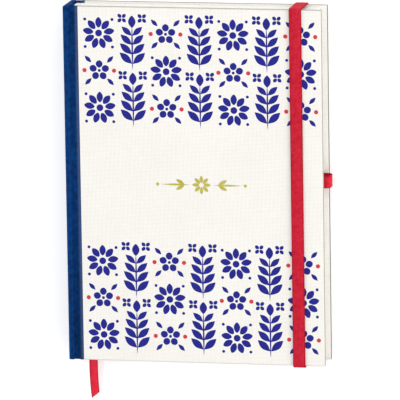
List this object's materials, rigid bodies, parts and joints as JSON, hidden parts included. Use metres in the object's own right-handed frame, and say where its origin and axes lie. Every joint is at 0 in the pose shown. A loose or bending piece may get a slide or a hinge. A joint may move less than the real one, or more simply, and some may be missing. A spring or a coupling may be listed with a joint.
{
  "type": "address book",
  "caption": "Hardcover address book with a cloth spine, paper-covered boards, index sections, ribbon marker, pen loop and elastic closing band.",
  "frame": {"origin": "middle of the back cover's outer face, on which the closed book lies", "axes": "+X from the spine to the fore-edge, +Y to the head of the book, +Z out of the front cover"},
  "size_m": [0.122, 0.1867, 0.0189],
  "materials": {
    "grey_board": "matte grey bookboard",
    "cover_paper": "ivory linen-embossed paper with a blue and red print",
    "spine_cloth": "navy bookcloth",
    "endpaper": "plain ivory paper",
    "page_paper": "plain white paper",
    "gauze": "open-weave gauze",
    "ribbon": "red satin",
    "elastic": "ribbed red elastic"
  },
  "bodies": {
    "back_cover": {"back_board": "grey_board", "back_cover_paper": "cover_paper", "back_spine_cloth": "spine_cloth", "back_pastedown": "endpaper", "back_flyleaf": "endpaper", "spine_lining": "gauze", "elastic_band_end_head": "elastic", "elastic_band_end_tail": "elastic", "pen_loop": "elastic"},
    "spine": {"spine_board": "grey_board", "spine_cloth": "spine_cloth"},
    "front_cover": {"front_board": "grey_board", "front_cover_paper": "cover_paper", "front_spine_cloth": "spine_cloth", "front_pastedown": "endpaper"},
    "flyleaf": {"front_flyleaf": "endpaper"},
    "band": {"elastic_band": "elastic"},
    "ribbon": {"bookmark_ribbon": "ribbon"},
    "section_ab": {"index_section_ab": "page_paper"},
    "section_cd": {"index_section_cd": "page_paper"},
    "section_ef": {"index_section_ef": "page_paper"},
    "section_gh": {"index_section_gh": "page_paper"},
    "section_ij": {"index_section_ij": "page_paper"},
    "section_kl": {"index_section_kl": "page_paper"},
    "section_mn": {"index_section_mn": "page_paper"},
    "section_op": {"index_section_op": "page_paper"},
    "section_qr": {"index_section_qr": "page_paper"},
    "section_st": {"index_section_st": "page_paper"},
    "section_uvw": {"index_section_uvw": "page_paper"},
    "section_xyz": {"index_section_xyz": "page_paper"}
  },
  "joints": [
    {"name": "spine_swing", "type": "hinge", "parent": "back_cover", "child": "spine", "pos_m": [-0.0575, 0, 0.0025], "axis": [0, -1, 0], "range_deg": [0, 90]},
    {"name": "cover_open", "type": "hinge", "parent": "spine", "child": "front_cover", "pos_m": [-0.0575, 0, 0.01557], "axis": [0, -1, 0], "range_deg": [0, 90], "deforming": ["spine_lining"]},
    {"name": "flyleaf_turn", "type": "hinge", "parent": "back_cover", "child": "flyleaf", "pos_m": [-0.05705, 0, 0.00903], "axis": [0, -1, 0], "range_deg": [0, 179.8]},
    {"name": "turn_ab", "type": "hinge", "parent": "back_cover", "child": "section_ab", "pos_m": [-0.05705, 0, 0.00903], "axis": [0, -1, 0], "range_deg": [0, 179.5]},
    {"name": "turn_cd", "type": "hinge", "parent": "back_cover", "child": "section_cd", "pos_m": [-0.05705, 0, 0.00903], "axis": [0, -1, 0], "range_deg": [0, 177.2]},
    {"name": "turn_ef", "type": "hinge", "parent": "back_cover", "child": "section_ef", "pos_m": [-0.05705, 0, 0.00903], "axis": [0, -1, 0], "range_deg": [0, 174.9]},
    {"name": "turn_gh", "type": "hinge", "parent": "back_cover", "child": "section_gh", "pos_m": [-0.05705, 0, 0.00903], "axis": [0, -1, 0], "range_deg": [0, 172.6]},
    {"name": "turn_ij", "type": "hinge", "parent": "back_cover", "child": "section_ij", "pos_m": [-0.05705, 0, 0.00903], "axis": [0, -1, 0], "range_deg": [0, 170.3]},
    {"name": "turn_kl", "type": "hinge", "parent": "back_cover", "child": "section_kl", "pos_m": [-0.05705, 0, 0.00903], "axis": [0, -1, 0], "range_deg": [0, 168]},
    {"name": "turn_mn", "type": "hinge", "parent": "back_cover", "child": "section_mn", "pos_m": [-0.05705, 0, 0.00903], "axis": [0, -1, 0], "range_deg": [0, 12]},
    {"name": "turn_op", "type": "hinge", "parent": "back_cover", "child": "section_op", "pos_m": [-0.05705, 0, 0.00903], "axis": [0, -1, 0], "range_deg": [0, 9.7]},
    {"name": "turn_qr", "type": "hinge", "parent": "back_cover", "child": "section_qr", "pos_m": [-0.05705, 0, 0.00903], "axis": [0, -1, 0], "range_deg": [0, 7.4]},
    {"name": "turn_st", "type": "hinge", "parent": "back_cover", "child": "section_st", "pos_m": [-0.05705, 0, 0.00903], "axis": [0, -1, 0], "range_deg": [0, 5.1]},
    {"name": "turn_uvw", "type": "hinge", "parent": "back_cover", "child": "section_uvw", "pos_m": [-0.05705, 0, 0.00903], "axis": [0, -1, 0], "range_deg": [0, 2.8]},
    {"name": "turn_xyz", "type": "hinge", "parent": "back_cover", "child": "section_xyz", "pos_m": [-0.05705, 0, 0.00903], "axis": [0, -1, 0], "range_deg": [0, 0.5]},
    {"name": "band_release", "type": "hinge", "parent": "back_cover", "child": "band", "pos_m": [0.0481, 0, 0.0029], "axis": [0, 1, 0], "range_deg": [0, 90], "deforming": ["elastic_band"]},
    {"name": "ribbon_swing", "type": "hinge", "parent": "section_mn", "child": "ribbon", "pos_m": [-0.0547, 0.0805, 0.00903], "axis": [0, 0, 1], "range_deg": [0, 12]}
  ],
  "couplings": [
    {"joint": "spine_swing", "follows": "cover_open", "ratio": 1},
    {"joint": "flyleaf_turn", "follows": "cover_open", "ratio": 1.9978},
    {"joint": "turn_ab", "follows": "cover_open", "ratio": 1.9944},
    {"joint": "turn_cd", "follows": "cover_open", "ratio": 1.9689},
    {"joint": "turn_ef", "follows": "cover_open", "ratio": 1.9433},
    {"joint": "turn_gh", "follows": "cover_open", "ratio": 1.9178},
    {"joint": "turn_ij", "follows": "cover_open", "ratio": 1.8922},
    {"joint": "turn_kl", "follows": "cover_open", "ratio": 1.8667},
    {"joint": "turn_mn", "follows": "cover_open", "ratio": 0.13333},
    {"joint": "turn_op", "follows": "cover_open", "ratio": 0.10778},
    {"joint": "turn_qr", "follows": "cover_open", "ratio": 0.082222},
    {"joint": "turn_st", "follows": "cover_open", "ratio": 0.056667},
    {"joint": "turn_uvw", "follows": "cover_open", "ratio": 0.031111},
    {"joint": "turn_xyz", "follows": "cover_open", "ratio": 0.005556},
    {"joint": "band_release", "follows": "cover_open", "ratio": 1}
  ]
}
